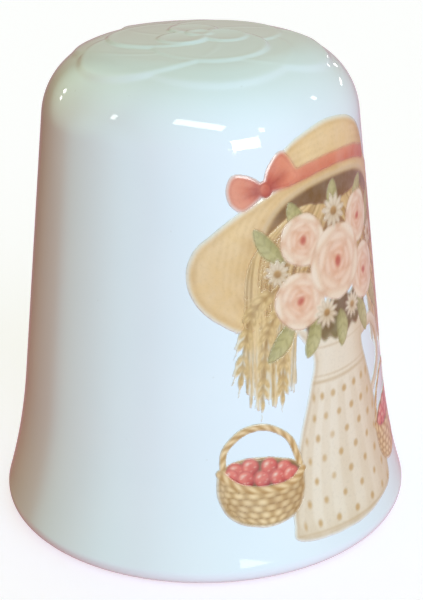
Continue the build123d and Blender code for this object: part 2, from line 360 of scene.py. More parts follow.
class Art:
    """The flat print while it is painted: s along the wall, z up."""

    FIELDS = ("s", "z", "rgb", "cover", "owner", "fine", "mid", "wide")

    def __init__(self, step):
        self.step, self.motif = step, MOTIFS[0]
        s = np.arange(ART_S[0], ART_S[1] + step / 2, step)
        z = np.arange(ART_Z[0], ART_Z[1] + step / 2, step)
        self.s, self.z = np.meshgrid(s, z)
        self.rgb = np.ones(self.s.shape + (3,)) * WHITE
        self.cover = np.zeros(self.s.shape)
        self.owner = np.zeros(self.s.shape, int)
        clouds = (cloud(self.s, self.z, cell, seed) for seed, cell in enumerate(NOISE_CELLS))
        self.fine, self.mid, self.wide = clouds

    def cut(self, points, margin):
        """The part within a margin of some points; painting on it paints the whole."""
        low, high = np.min(points, axis=0) - margin, np.max(points, axis=0) + margin
        columns, rows = (
            slice(max(int((a - start) / self.step), 0), max(int((b - start) / self.step) + 2, 1))
            for a, b, start in zip(low, high, (self.s[0, 0], self.z[0, 0]))
        )
        part = copy(self)
        for field in self.FIELDS:
            setattr(part, field, getattr(self, field)[rows, columns])
        return part

    def of(self, motif):
        """The same sheet, to be painted for one motif."""
        part = copy(self)
        part.motif = motif
        return part

    def lay(self, distance, colour, strength=1.0, soft=0.07, wobble=0.02):
        """Brushes colour on where distance is negative, with a soft bleeding edge."""
        cover = smooth(0.5 - (distance + wobble * self.mid) / soft / 2) * strength
        self.rgb[:] = self.rgb + (colour - self.rgb) * cover[..., None]
        mine = (cover > OWNS) | ((cover > TOUCHES) & (cover > self.cover))
        self.owner[mine] = MOTIFS.index(self.motif)
        self.cover[:] = 1 - (1 - self.cover) * (1 - cover)

    def outline(self, distance, colour, strength, width=0.03, soft=0.08):
        """A soft line just inside an edge."""
        self.lay(np.abs(distance + 0.05) - width, colour, strength, soft)

    def frame(self, centre, turn=0.0):
        """Coordinates about a centre, turned by some degrees."""
        c, s = heading(turn)
        ds, dz = self.s - centre[0], self.z - centre[1]
        return ds * c + dz * s, dz * c - ds * s

    def oval(self, centre, a, b, turn=0.0):
        """Distance to an oval's edge."""
        u, v = self.frame(centre, turn)
        return (np.hypot(u / a, v / b) - 1) * min(a, b)

    def area(self, points):
        """Distance to a smooth closed outline."""
        line = spline(points, closed=True)
        gap = np.full(self.s.shape, 1e9)
        inside = np.zeros(self.s.shape, bool)
        for (x0, y0), (x1, y1) in zip(line, np.roll(line, -1, axis=0)):
            gap = np.minimum(gap, self._to_segment(x0, y0, x1, y1)[0])
            if y0 != y1:
                crosses = (y0 > self.z) != (y1 > self.z)
                inside ^= crosses & (self.s < x0 + (self.z - y0) * (x1 - x0) / (y1 - y0))
        return np.where(inside, -gap, gap)

    def stroke(self, points, width, end_width=None, swell=0.0):
        """Distance to a brush stroke, the place along it from 0 to 1, and the side from -1 to 1."""
        end_width = width if end_width is None else end_width
        line = spline(points) if len(points) > 2 else np.array(points, float)
        best = np.full(self.s.shape, 1e9)
        along, side = np.zeros(self.s.shape), np.zeros(self.s.shape)
        for k, ((x0, y0), (x1, y1)) in enumerate(zip(line, line[1:])):
            reach, t, ex, ey = self._to_segment(x0, y0, x1, y1)
            place = (k + t) / (len(line) - 1)
            half = width + (end_width - width) * place + swell * np.sin(pi * place)
            nearer = reach - half < best
            best = np.where(nearer, reach - half, best)
            along = np.where(nearer, place, along)
            turn = ((x1 - x0) * ey - (y1 - y0) * ex) / (hypot(x1 - x0, y1 - y0) + 1e-9)
            side = np.where(nearer, np.clip(turn / np.maximum(half, 1e-3), -1, 1), side)
        return best, along, side

    def _to_segment(self, x0, y0, x1, y1):
        """Distance to a straight piece, the place along it, and the offset from it."""
        dx, dy = x1 - x0, y1 - y0
        t = np.clip(((self.s - x0) * dx + (self.z - y0) * dy) / (dx * dx + dy * dy + 1e-12), 0, 1)
        ex, ey = self.s - x0 - t * dx, self.z - y0 - t * dy
        return np.hypot(ex, ey), t, ex, ey


def heading(turn):
    """Unit vector on the sheet, turned by some degrees from +S."""
    return np.array([cosd(turn), sind(turn)])


def mix(a, b, t):
    """Colour a to colour b by a field from 0 to 1."""
    t = np.clip(t, 0, 1)[..., None]
    return a * (1 - t) + b * t


def spline(points, closed=False, per=8):
    """Smooth line through points (Catmull-Rom)."""
    p = np.array(points, float)
    if closed:
        before, after, beyond = (np.roll(p, shift, axis=0) for shift in (1, -1, -2))
    else:
        p, before, after, beyond = p[:-1], np.vstack([p[:1], p[:-2]]), p[1:], np.vstack([p[2:], p[-1:]])
    line = []
    for a, b, c, d in zip(before, p, after, beyond):
        for t in np.arange(per) / per:
            bend = (2 * a - 5 * b + 4 * c - d) * t**2 + (3 * b - a - 3 * c + d) * t**3
            line.append(0.5 * (2 * b + (c - a) * t + bend))
    return np.array(line if closed else line + [after[-1]])


# ---- sun hat
CROWN = [(-3.1, 20.2), (-2.95, 21.3), (-2.0, 22.2), (0.2, 22.75), (2.4, 22.4), (3.8, 21.4), (4.3, 20.0),
         (2.4, 20.5), (0.4, 20.65), (-1.6, 20.5)]
BRIM = [(-8.0, 16.1), (-7.5, 17.3), (-6.3, 18.3), (-4.7, 19.3), (-2.4, 20.3), (0.5, 20.75), (3.6, 20.3),
        (5.6, 19.3), (7.2, 18.2), (8.1, 16.7), (7.9, 15.2), (6.9, 14.0), (5.4, 13.3), (3.6, 14.3),
        (0.3, 15.0), (-3.2, 14.3), (-5.2, 13.2), (-6.7, 13.8), (-7.7, 14.8)]
OPENING = [(-4.3, 14.6), (-4.25, 17.2), (-3.4, 18.8), (-1.8, 19.7), (0.5, 20.0), (2.8, 19.7), (4.4, 18.7),
           (5.1, 17.0), (5.0, 14.6), (0.3, 14.4)]
PLAIT_RATE = 19.0  # phase per mm across the plaits of straw
PLAITS = 3.02  # plaits per mm
STITCH_RATE = 16.0  # phase per mm along them


def plaited(art, across, phase, wobble, slant):
    """Ripple of plaited straw: rows across, and stitches along every other row."""
    rows = np.sin(across * PLAIT_RATE + wobble * art.mid)
    stitches = np.sin(phase + np.floor(across * PLAITS) * slant)
    return 0.05 * rows + 0.03 * stitches * (rows > 0) + 0.1 * art.mid


def paint_hat(art):
    """Brim, shaded opening with a pale edge, and crown."""
    brim, opening = art.area(BRIM), art.area(OPENING)
    straw = mix(STRAW_LIGHT, STRAW, 0.42 - 0.1 * (art.z - 17) + 0.22 * art.wide)
    plaits = plaited(art, opening, (art.s + 0.6 * art.z) * STITCH_RATE, 0.9, 1.9)
    straw = mix(straw, STRAW_DEEP, 0.42 * smooth((1.9 - opening) / 2.2) + plaits)
    art.lay(brim, straw, soft=0.22)
    art.lay(np.abs(brim + 0.24) - 0.06, STRAW_DEEP, 0.26 + 0.15 * art.mid, soft=0.2)
    art.lay(np.abs(brim + 0.62) - 0.08, STRAW_LIGHT, 0.35, soft=0.2)
    under = mix(STRAW_SHADE, STRAW_DARK, (19.6 - art.z) / 3.0 + 0.2 * art.mid)
    art.lay(opening, under, 0.86, soft=0.16)
    edge = 0.75 * smooth((art.z - 16.4) / 2.0)
    art.lay(np.abs(opening - 0.16) - 0.09, CREAM_DEEP, edge, soft=0.14)
    crown = art.area(CROWN)
    tip, height = art.s - 0.6, art.z + 0.045 * (art.s - 0.6) ** 2
    top = mix(STRAW_LIGHT, STRAW, 0.45 + 0.14 * tip + 0.2 * art.wide)
    shade = 0.5 * smooth((tip - 0.8) / 3.2) + 0.4 * smooth((21.4 - height) / 1.0)
    shade = shade + 0.25 * smooth((-tip - 1.6) / 1.6)
    top = mix(top, STRAW_DEEP, shade + plaited(art, height, tip * PLAIT_RATE, 0.4, 1.7))
    art.lay(crown, top, soft=0.2)
    art.outline(crown + 0.12, STRAW_DEEP, 0.25, 0.04, 0.18)
    art.lay(art.oval((-0.6, 21.9), 1.3, 0.4, 12), STRAW_LIGHT, 0.5, soft=0.6)


# ---- ribbon
BAND = [(-2.6, 20.42), (-1.0, 20.72), (0.6, 20.86), (2.4, 20.72), (4.15, 20.25)]
KNOT = (-3.85, 20.12)
LOOPS = [  # outline of each loop, and the middle and turn of its dark heart
    ([(-3.95, 20.15), (-4.5, 20.72), (-5.3, 20.88), (-5.68, 20.3), (-5.6, 19.6), (-5.1, 19.2), (-4.5, 19.5)],
     (-4.35, 20.05), 5),
    ([(-3.8, 20.1), (-3.7, 20.9), (-3.2, 21.6), (-2.75, 21.75), (-2.3, 21.2), (-1.95, 20.5), (-2.5, 20.12),
      (-3.2, 20.0)], (-3.2, 20.45), 32),
]
BAND_END = 4.18


def paint_ribbon(art):
    """Band, the two creased loops of the bow, and its knot."""
    band, along, side = art.stroke(BAND, 0.34, 0.32)
    band = np.maximum(band, art.s - BAND_END)
    silk = mix(PINK, PINK_LIGHT, 0.35 + 0.4 * side + 0.2 * art.mid)
    silk = mix(silk, PINK_DEEP, 0.55 * smooth((along - 0.55) / 0.5) + 0.45 * smooth((0.16 - along) / 0.16))
    art.lay(band, silk, 0.92, soft=0.16)
    art.outline(band, PINK_DEEP, 0.25)
    far = np.hypot(art.s - KNOT[0], art.z - KNOT[1])
    rays = np.sin(np.arctan2(art.z - KNOT[1], art.s - KNOT[0]) * 13 + 0.8)
    for outline, heart, turn in LOOPS:
        loop = art.area(outline)
        cloth = mix(PINK, PINK_LIGHT, smooth((far - 0.3) / 1.5) * 0.9 + 0.15 * art.mid)
        creases = 0.25 * smooth(rays) * smooth((1.7 - far) / 1.3)
        cloth = mix(cloth, PINK_DEEP, 0.75 * smooth((0.8 - far) / 0.6) + creases)
        art.lay(loop, cloth, 0.94, soft=0.18)
        art.lay(art.oval(heart, 0.42, 0.2, turn), PINK_DARK, 0.36, soft=0.3)
        art.outline(loop + 0.08, PINK_DEEP, 0.28)
    knot = art.oval(KNOT, 0.34, 0.38, 10)
    shade = (art.s - KNOT[0] - art.z + KNOT[1]) * 0.8 + 0.6
    art.lay(knot, mix(PINK_LIGHT, PINK_DEEP, shade), soft=0.09)
    art.outline(knot, PINK_DARK, 0.45)


# ---- dried grass, wheat and leaves
SWATHES = [  # start, bend and end of each swathe of grass, its half width at both ends, its strands
    ((-1.7, 18.9), (-4.2, 17.0), (-5.0, 9.6), 1.0, 0.8, 40),
    ((2.4, 18.9), (4.7, 17.0), (5.5, 9.9), 1.0, 0.8, 40),
    ((-1.0, 18.8), (-3.0, 15.8), (-3.7, 10.2), 0.9, 0.5, 24),
    ((1.7, 18.8), (3.8, 15.8), (4.5, 10.6), 1.3, 0.9, 36),
]
EARS = [[(-2.6, 15.6), (-5.0, 14.2), (-6.0, 10.6)], [(-2.4, 14.8), (-4.3, 13.2), (-5.0, 9.2)],
        [(-2.0, 13.6), (-3.4, 12.6), (-3.9, 9.4)], [(3.1, 15.6), (5.4, 14.2), (6.4, 10.8)],
        [(2.9, 14.8), (4.7, 13.2), (5.5, 9.5)], [(2.5, 13.6), (3.8, 12.8), (4.4, 9.7)]]
GRAINS = 9
LEAVES = [  # middle, half length and turn of each leaf
    ((-3.7, 12.5), 1.25, 232), ((-3.9, 17.3), 1.15, 128), ((4.3, 17.4), 1.15, 52), ((4.1, 12.6), 1.25, -52),
    ((-1.9, 12.3), 1.05, 250), ((2.3, 12.2), 1.05, -68), ((0.3, 18.9), 0.95, 92), ((0.2, 12.2), 0.95, 268),
    ((-2.2, 18.5), 0.9, 120), ((2.7, 18.6), 0.9, 60),
]


def paint_grass(art):
    """Hanging dried grass, strand by strand."""
    dice = np.random.default_rng(11)
    shades = (HONEY_LIGHT, HONEY, HONEY_DEEP, STRAW, STRAW_LIGHT)
    for start, bend, end, wide, narrow, strands in SWATHES:
        for k in range(strands):
            across = 2 * k / (strands - 1) - 1
            sway = dice.uniform(-0.18, 0.18)
            line = [(start[0] + across * wide, start[1] - 0.4 * across**2),
                    (bend[0] + across * wide * 0.8 + sway, bend[1] - 0.8 * abs(across)),
                    (end[0] + across * narrow - sway, end[1] + dice.uniform(-0.5, 1.4))]
            width = dice.uniform(0.06, 0.12)
            sheet = art.cut(spline(line), 0.4)
            blade, along, side = sheet.stroke(line, width, 0.02)
            shade = mix(shades[dice.integers(len(shades))], HONEY_DEEP, 0.35 + 0.4 * side - 0.3 * along)
            shade = mix(shade, STRAW_DARK, 0.7 * smooth((sheet.s - 2.2) / 2.0))
            sheet.lay(blade, shade, 0.8, soft=0.09)


def paint_wheat(art):
    """The grass, and over it the ears: stalk, grains on both flanks, one at the tip."""
    paint_grass(art)
    for ear in EARS:
        line = spline(ear, per=16)
        sheet = art.cut(line, 1.3)
        sheet.lay(sheet.stroke(ear, 0.07, 0.05)[0], HONEY_DEEP, 0.75)
        first = len(line) // 3
        for k in range(GRAINS):
            place = first + (len(line) - 2 - first) * k // (GRAINS - 1)
            ds, dz = line[place + 1] - line[place]
            lean = float(np.degrees(np.arctan2(dz, ds)))
            size = 1.0 - 0.35 * k / GRAINS
            for flank in (-1, 1) if k < GRAINS - 1 else (0,):
                paint_grain(sheet, line[place], lean, flank, size)


def paint_grain(art, spot, lean, flank, size):
    """One grain with its awn; flank is the side of the ear that it grows on."""
    turn = lean + flank * 24
    out = 0.21 * size * flank
    centre = (spot[0] - sind(lean) * out, spot[1] + cosd(lean) * out)
    tip = centre + 0.36 * size * heading(turn)
    far = tip + 0.6 * heading(turn - flank * 9)
    sheet = art.cut([centre, far], 0.6)
    u, v = sheet.frame(centre, turn)
    husk = mix(HONEY_LIGHT, HONEY, 0.45 - v * 2.2 + 0.25 * sheet.fine)
    husk = mix(husk, HONEY_DEEP, smooth((-u - 0.02) / 0.4) * 0.75)
    grain = sheet.oval(centre, 0.4 * size, 0.155 * size, turn)
    sheet.lay(grain, husk, 0.95)
    sheet.outline(grain, HONEY_DEEP, 0.4, 0.012, 0.05)
    sheet.lay(sheet.stroke([tip, far], 0.022, 0.008)[0], HONEY_LIGHT, 0.55, soft=0.06)


def paint_leaves(art):
    """A dark mound under the flowers, and veined leaves round them."""
    mound = art.oval((0.2, 12.95), 2.5, 1.0) + 0.12 * np.sin(art.s * 7) + 0.1 * art.mid
    shade = mix(OLIVE_DARK, STRAW_SHADE, 0.55 + 0.5 * art.mid)
    art.lay(mound, shade, 0.9, soft=0.16)
    for centre, length, turn in LEAVES:
        way = heading(turn)
        bow = np.array([-way[1], way[0]]) * 0.14
        spine = [np.array(centre) - length * way, np.array(centre) + bow, np.array(centre) + length * way]
        sheet = art.cut(spine, 0.8)
        leaf, along, side = sheet.stroke(spine, 0.05, 0.02, swell=0.42)
        blade = mix(OLIVE_LIGHT, OLIVE, 0.5 - 0.55 * side + 0.3 * sheet.mid)
        blade = mix(blade, OLIVE_DARK, 0.6 * smooth(1 - along * 2.6))
        sheet.lay(leaf, blade, 0.92, soft=0.08)
        veins = np.sin(along * 34 - np.abs(side) * 5)
        sheet.lay(leaf + 0.06, OLIVE_DARK, 0.2 * smooth(veins), soft=0.08)
        sheet.lay(sheet.stroke(spine, 0.035, 0.01)[0], OLIVE_LIGHT, 0.55, soft=0.06)
        sheet.outline(leaf, OLIVE_DARK, 0.3, 0.02)


# ---- flowers: middle, radius and turn of each
ROSES = [((-2.0, 17.3), 1.35, 70), ((2.5, 17.4), 1.35, 200), ((-2.4, 14.3), 1.5, 40),
         ((2.9, 14.4), 1.5, 160), ((0.3, 15.7), 2.0, 265)]
DAISIES = [((0.2, 18.3), 0.85, 5), ((-3.6, 15.9), 0.66, 20), ((4.2, 16.0), 0.68, 33),
           ((-0.8, 13.3), 0.78, 12), ((1.3, 13.1), 0.66, 25)]
# rings of a rose's petals: how many, and their distance, size (shares of the radius) and turn
ROSE_PETALS = [(5, 0.6, 0.46, 0.0), (5, 0.4, 0.38, 36.0), (4, 0.23, 0.29, 10.0), (3, 0.1, 0.19, 50.0)]
DAISY_PETALS = 11


def paint_daisy(art, centre, radius, spin):
    """A ring of white petals, darker below, round an ochre eye."""
    sheet = art.cut([centre], radius + 0.3)
    for k in range(DAISY_PETALS):
        turn = spin + 360 * k / DAISY_PETALS
        spot = polar(centre, 0.56 * radius, turn)
        petal = sheet.oval(spot, 0.46 * radius, 0.19 * radius, turn)
        along = sheet.frame(spot, turn)[0]
        low_side = 0.25 if sind(turn) < -0.2 else 0.0
        white = mix(CREAM_LIGHT, CREAM_DEEP, 0.35 - along / radius * 0.9 + low_side)
        sheet.lay(petal, white, 0.96)
        sheet.outline(petal, CREAM_LINE, 0.45, 0.012, 0.06)
    eye = mix(OCHRE, STRAW_DARK, 0.5 - (sheet.z - centre[1]) * 2.2)
    sheet.lay(sheet.oval(centre, 0.27 * radius, 0.25 * radius), eye, 0.97)


def paint_rose(art, centre, radius, spin):
    """Rings of cupped petals, pinker inwards."""
    sheet = art.cut([centre], radius + 0.4)
    sheet.lay(sheet.oval(centre, radius, 0.96 * radius), PEACH_DEEP, 0.92, soft=0.1)
    for depth, (count, reach, size, twist) in enumerate(ROSE_PETALS):
        for k in range(count):
            turn = spin + twist + 360 * k / count
            spot = polar(centre, reach * radius, turn)
            petal = sheet.oval(spot, 0.86 * size * radius, 1.06 * size * radius, turn)
            rim = smooth((sheet.frame(spot, turn)[0] / (size * radius) + 0.25) / 1.0)
            blush = mix(PEACH_DEEP, PEACH, rim * 1.25)
            lit = 0.8 if sind(turn) > -0.3 else 0.45
            blush = mix(blush, PEACH_LIGHT, smooth((rim - 0.62) / 0.34) * lit)
            blush = blush + (PINK_LIGHT - blush) * (0.08 + 0.1 * depth)
            sheet.lay(petal, blush, 0.93, soft=0.08)
            sheet.outline(petal, PEACH_DEEP, 0.42, 0.015, 0.06)
    heart = sheet.oval(centre, 0.13 * radius, 0.1 * radius, spin)
    sheet.lay(heart, PINK_DEEP, 0.75, soft=0.12)


def paint_blooms(art):
    """The roses, and the daisies over them."""
    for rose in ROSES:
        paint_rose(art, *rose)
    for daisy in DAISIES:
        paint_daisy(art, *daisy)


# ---- jug
JUG_AXIS = 0.1
JUG_HALF_WIDTHS = [(1.6, 3.7), (2.8, 4.15), (5.0, 3.7), (7.4, 3.05), (9.6, 2.3), (10.9, 1.95), (12.3, 2.15)]
JUG = [(-3.7, 1.85), (0.1, 1.65), (2.6, 1.95), (3.85, 2.3), (4.1, 3.1), (3.8, 5.0), (3.15, 7.4), (2.4, 9.6),
       (2.05, 10.9), (2.25, 12.3), (0.3, 12.1), (-1.5, 12.35), (-2.8, 12.9), (-2.05, 11.7), (-1.85, 10.9),
       (-2.2, 9.6), (-2.95, 7.4), (-3.6, 5.0), (-4.05, 2.8)]
JUG_GRIP = [(2.1, 11.5), (3.4, 11.6), (4.4, 10.6), (4.3, 8.9), (2.9, 7.7)]
JUG_LIP = [(-2.8, 12.85), (-1.5, 12.3), (0.3, 12.05), (2.25, 12.3)]
COLLAR = 9.9  # moulded line under the plain neck
HOOPS = ((COLLAR, 0.16), (COLLAR + 0.3, 0.05), (11.7, 0.06), (2.1, 0.1))  # height and depth
FLUTES = 15.0
SAG = 0.18  # how much a level line sags in its middle
DOT_ROWS = 7
DOT_START, DOT_RISE = 2.55, 1.1  # height of the lowest row, and from row to row
DOT_TURN = 21.0  # degrees round the jug between dots
DOT_LIMIT = 72
DOT_SIZE = (0.17, 0.18)


def jug_half_width(z):
    """Half width of the jug at height z."""
    return np.interp(z, *zip(*JUG_HALF_WIDTHS))


def paint_jug(art):
    """Handle, fluted and spotted body, hoops and lip."""
    grip, _, side = art.stroke(JUG_GRIP, 0.32, 0.26)
    art.lay(grip, mix(CREAM_LIGHT, CREAM_DEEP, 0.45 - 0.5 * side + 0.1 * art.mid), 0.97, soft=0.09)
    art.outline(grip, CREAM_LINE, 0.35)
    body = art.area(JUG)
    round_by = np.clip((art.s - JUG_AXIS) / jug_half_width(art.z), -1, 1)
    level = art.z + SAG * (1 - round_by**2)
    clay = mix(CREAM_LIGHT, CREAM, 0.4 + 0.45 * round_by + 0.2 * art.wide)
    turn_away = 0.7 * smooth((np.abs(round_by + 0.12) - 0.45) / 0.75)
    clay = mix(clay, CREAM_DEEP, turn_away + 0.25 * smooth((3.0 - art.z) / 1.4))
    flutes = np.sin(np.arcsin(round_by) * FLUTES)
    clay = mix(clay, CREAM_DEEP, 0.22 * smooth(0.5 - flutes) * smooth((COLLAR - level) / 0.5))
    art.lay(body, clay, 0.98, soft=0.16)
    for row in range(DOT_ROWS):
        z = DOT_START + DOT_RISE * row
        for k in range(-3, 4):
            angle = (k + 0.5 * (row % 2)) * DOT_TURN
            if abs(angle) < DOT_LIMIT:
                squeeze = cosd(angle)
                spot = (JUG_AXIS + float(jug_half_width(z)) * sind(angle), z - SAG * squeeze**2)
                sheet = art.cut([spot], 0.4)
                dot = sheet.oval(spot, DOT_SIZE[0] * max(squeeze, 0.35), DOT_SIZE[1])
                sheet.lay(dot, OCHRE, 0.8, soft=0.1)
    for z, depth in HOOPS:
        hoop = np.maximum(np.abs(level - z) - depth / 2, body + 0.05)
        art.lay(hoop, CREAM_DEEP, 0.75, soft=0.09)
    art.lay(art.stroke(JUG_LIP, 0.11, 0.1)[0], CREAM_LIGHT, 0.95)
    art.outline(body + 0.08, CREAM_LINE, 0.36, 0.04, 0.14)
    art.lay(art.oval((JUG_AXIS - 1.3, 6.0), 0.45, 2.6, -8), CREAM_LIGHT, 0.5, soft=0.5)


# ---- two baskets of berries, one on each side of the jug
BASKET_S = 5.35  # middle of each basket, left and right
HEAP = [(-1.35, 6.05), (1.15, 5.85), (-0.6, 6.2), (0.4, 6.1), (-1.65, 5.75), (-0.9, 5.6), (-0.05, 5.5),
        (0.8, 5.45), (1.5, 5.5)]
BOWL = [(-2.1, 6.0), (-2.38, 4.9), (-2.15, 3.9), (-1.3, 3.25), (0.1, 3.05), (1.4, 3.4), (2.05, 4.3),
        (2.2, 5.55), (1.5, 5.0), (0.1, 4.85), (-1.3, 5.15)]
ARCH = [(-2.0, 6.1), (-1.75, 7.2), (-0.7, 8.1), (0.55, 8.15), (1.65, 7.3), (2.1, 5.9)]
RIM_BACK = [(-2.15, 5.95), (-1.2, 6.45), (0.1, 6.5), (1.4, 6.2), (2.2, 5.6)]
RIM_FRONT = [(-2.15, 5.95), (-1.3, 5.2), (0.1, 4.9), (1.5, 5.05), (2.2, 5.6)]
WICKER_ROW = 0.34
WICKER_WEAVE = 5.0
BASKET_HALF_WIDTHS = [(3.0, 0.8), (3.4, 1.5), (4.2, 2.1), (5.6, 2.3)]


def at_basket(points, side):
    """Points of a basket in its place; the right-hand one is mirrored."""
    return [(side * (BASKET_S - s), z) for s, z in points]


def paint_berries(art, side):
    """The basket's dark hollow, and the heap of berries with seeds and a shine."""
    hollow = art.area(at_basket(RIM_BACK + RIM_FRONT[-2:0:-1], side))
    art.lay(hollow, STRAW_SHADE, 0.85, soft=0.12)
    for number, centre in enumerate(at_basket(HEAP, side)):
        sheet = art.cut([centre], 0.8)
        berry = sheet.oval(centre, 0.46, 0.45, 20 * number)
        v = sheet.frame(centre, 40)[1]
        flesh = mix(BERRY_LIGHT, BERRY, 0.5 - 1.0 * v + 0.3 * sheet.fine)
        flesh = mix(flesh, BERRY_DARK, smooth((-v - 0.03) / 0.5) * 0.8)
        sheet.lay(berry, flesh, 0.96, soft=0.08)
        sheet.outline(berry, BERRY_DARK, 0.5, 0.02)
        for k in range(5):
            seed = (centre[0] + 0.24 * cos(k * 1.4 + number), centre[1] + 0.22 * sin(k * 1.4 + number))
            sheet.lay(sheet.oval(seed, 0.045, 0.03), PEACH_LIGHT, 0.55, soft=0.05)
        shine = (centre[0] - 0.14, centre[1] + 0.17)
        sheet.lay(sheet.oval(shine, 0.11, 0.07, 30), PEACH_LIGHT, 0.7, soft=0.09)


def paint_cane(art, points, width, twists):
    """Twisted cane, as in the handle and the rim."""
    cane, along, side = art.stroke(points, width)
    twist = np.sin(along * twists + side * 2.2)
    art.lay(cane, mix(STRAW_LIGHT, STRAW_DEEP, 0.42 + 0.5 * twist - 0.3 * side), 0.96)
    art.outline(cane, STRAW_DARK, 0.28, 0.02)


def paint_basket(art, side):
    """Handle, woven bowl and front rim."""
    paint_cane(art, at_basket(ARCH, side), 0.15, 62)
    bowl = art.area(at_basket(BOWL, side))
    half = np.interp(art.z, *zip(*BASKET_HALF_WIDTHS))
    round_by = np.clip((art.s - side * BASKET_S) / half, -1, 1)
    row_place = (art.z + 0.3 * (1 - round_by**2)) / WICKER_ROW
    row = np.floor(row_place)
    over = np.sin(np.arcsin(round_by) * WICKER_WEAVE * pi + row * pi)
    roll = np.sin((row_place - row) * pi)
    wicker = mix(STRAW_LIGHT, OCHRE, 0.45 - 0.35 * over + 0.3 * art.mid)
    wicker = mix(wicker, STRAW_DARK, 0.45 * (1 - roll) ** 1.2 + 0.18 * smooth(-over))
    turn_away = 0.5 * smooth((round_by - 0.25) / 0.9) + 0.25 * smooth((-round_by - 0.6) / 0.5)
    art.lay(bowl, mix(wicker, STRAW_DARK, turn_away), 0.97, soft=0.15)
    art.outline(bowl + 0.05, STRAW_DARK, 0.28)
    paint_cane(art, at_basket(RIM_FRONT, side), 0.2, 46)


def paint():
    """The whole print, farthest motif first."""
    art = Art(ART_STEP)
    paint_hat(art.of("hat"))
    paint_ribbon(art.of("ribbon").cut([(-5.7, 19.2), (4.2, 21.8)], 0.5))
    paint_wheat(art.of("wheat"))
    paint_jug(art.of("jug").cut([(-4.1, 1.6), (4.7, 12.9)], 0.5))
    paint_leaves(art.of("leaves"))
    paint_blooms(art.of("blooms"))
    for side in (-1, 1):
        place = art.cut([(side * 2.9, 3.0), (side * 7.8, 8.2)], 0.5)
        paint_cane(place.of("basket"), at_basket(RIM_BACK, side), 0.12, 40)
        paint_berries(place.of("berries"), side)
        paint_basket(place.of("basket"), side)
    return art


# ---- ink films
FILM_TOP = 0.03  # ink stands this far proud of the glaze
FILM_BOTTOM = -0.01
FAINTEST = 0.14  # cover below which there is no film
FULL_COVER = 0.6  # cover at which the film has its whole thickness
FEATHER = 0.8  # share of the thickness lost at its faint edge
SETTLE = 0.45  # how far a grid point may move onto the outline, in grid steps
INK_TONE = (0.95, 0.9, 0.84)  # the fired inks are a little warmer than their palette


def linear(colour):
    """sRGB to linear light."""
    colour = np.clip(colour, 0, 1)
    return np.where(colour <= 0.04045, colour / 12.92, ((colour + 0.055) / 1.055) ** 2.4)


def on_wall(s, z, proud):
    """Wraps flat artwork round the wall; the middle of the print faces -Y."""
    radius = wall_radius(z)
    angle = s / radius
    outer = radius + proud
    return np.stack([outer * np.sin(angle), -outer * np.cos(angle), z], axis=-1)


def settled_grid(art):
    """Grid points of the artwork, with those at the faint outer edge moved onto it for a smooth outline."""
    slope_z, slope_s = np.gradient(art.cover, art.step)
    pull = (FAINTEST - art.cover) / (slope_s**2 + slope_z**2 + 1e-6)
    limit = SETTLE * art.step
    shift_s = np.clip(pull * slope_s, -limit, limit)
    shift_z = np.clip(pull * slope_z, -limit, limit)
    full = art.cover > FAINTEST
    within = np.zeros_like(full)
    within[1:-1, 1:-1] = full[:-2, 1:-1] & full[2:, 1:-1] & full[1:-1, :-2] & full[1:-1, 2:]
    within &= full
    return np.where(within, art.s, art.s + shift_s), np.where(within, art.z, art.z + shift_z)


def film(art, grid, motif):
    """Closed film of the cells of one motif, with its painted colours."""
    columns = art.s.shape[1]
    cells = (art.cover[:-1, :-1] + art.cover[1:, :-1] + art.cover[:-1, 1:] + art.cover[1:, 1:]) / 4
    own = art.owner[:-1, :-1] == MOTIFS.index(motif)
    row, column = np.nonzero(own & (cells > FAINTEST))
    corner = row * columns + column
    quads = np.stack([corner, corner + 1, corner + columns + 1, corner + columns], axis=1)
    used, quads = np.unique(quads, return_inverse=True)
    quads = quads.reshape(-1, 4)
    count = len(used)
    s, z, cover = (field.ravel()[used] for field in (*grid, art.cover))
    feather = 1 - FEATHER * smooth((FULL_COVER - cover) / (FULL_COVER - FAINTEST))
    points = np.concatenate([on_wall(s, z, FILM_TOP * feather), on_wall(s, z, FILM_BOTTOM)])
    sides = np.concatenate([quads[:, [k, (k + 1) % 4]] for k in range(4)])
    key = np.sort(sides, axis=1) @ np.array([count, 1])
    _, first, uses = np.unique(key, return_index=True, return_counts=True)
    rim = sides[first[uses == 1]]
    walls = np.stack([rim[:, 0], rim[:, 0] + count, rim[:, 1] + count, rim[:, 1]], axis=1)
    faces = np.concatenate([quads, quads[:, ::-1] + count, walls])
    flags = np.arange(len(faces)) < 2 * len(quads)
    piece = mesh_object("ink_" + motif, points, faces.tolist(), flags)
    toned = 1 - (1 - np.array(INK_TONE)) * cover[:, None]
    colours = linear(art.rgb.reshape(-1, 3)[used]) * toned
    rgba = np.ones((2 * count, 4), np.float32)
    rgba[:, :3] = np.concatenate([colours, colours])
    attribute = piece.data.color_attributes.new("ink", "FLOAT_COLOR", "POINT")
    attribute.data.foreach_set("color", rgba.ravel())
    return piece


# ---- materials
GLAZE_IOR = 1.52
GLAZE_SHADE = ink(226, 236, 243)
GLAZE_SPECK = ink(196, 196, 190)
PAPER_LIGHT = ink(246, 240, 232)
PIGMENT_DARK = ink(120, 92, 70)
BISQUE = ink(240, 236, 228)
BISQUE_WARM = ink(228, 218, 204)
BISQUE_GREY = ink(196, 190, 182)


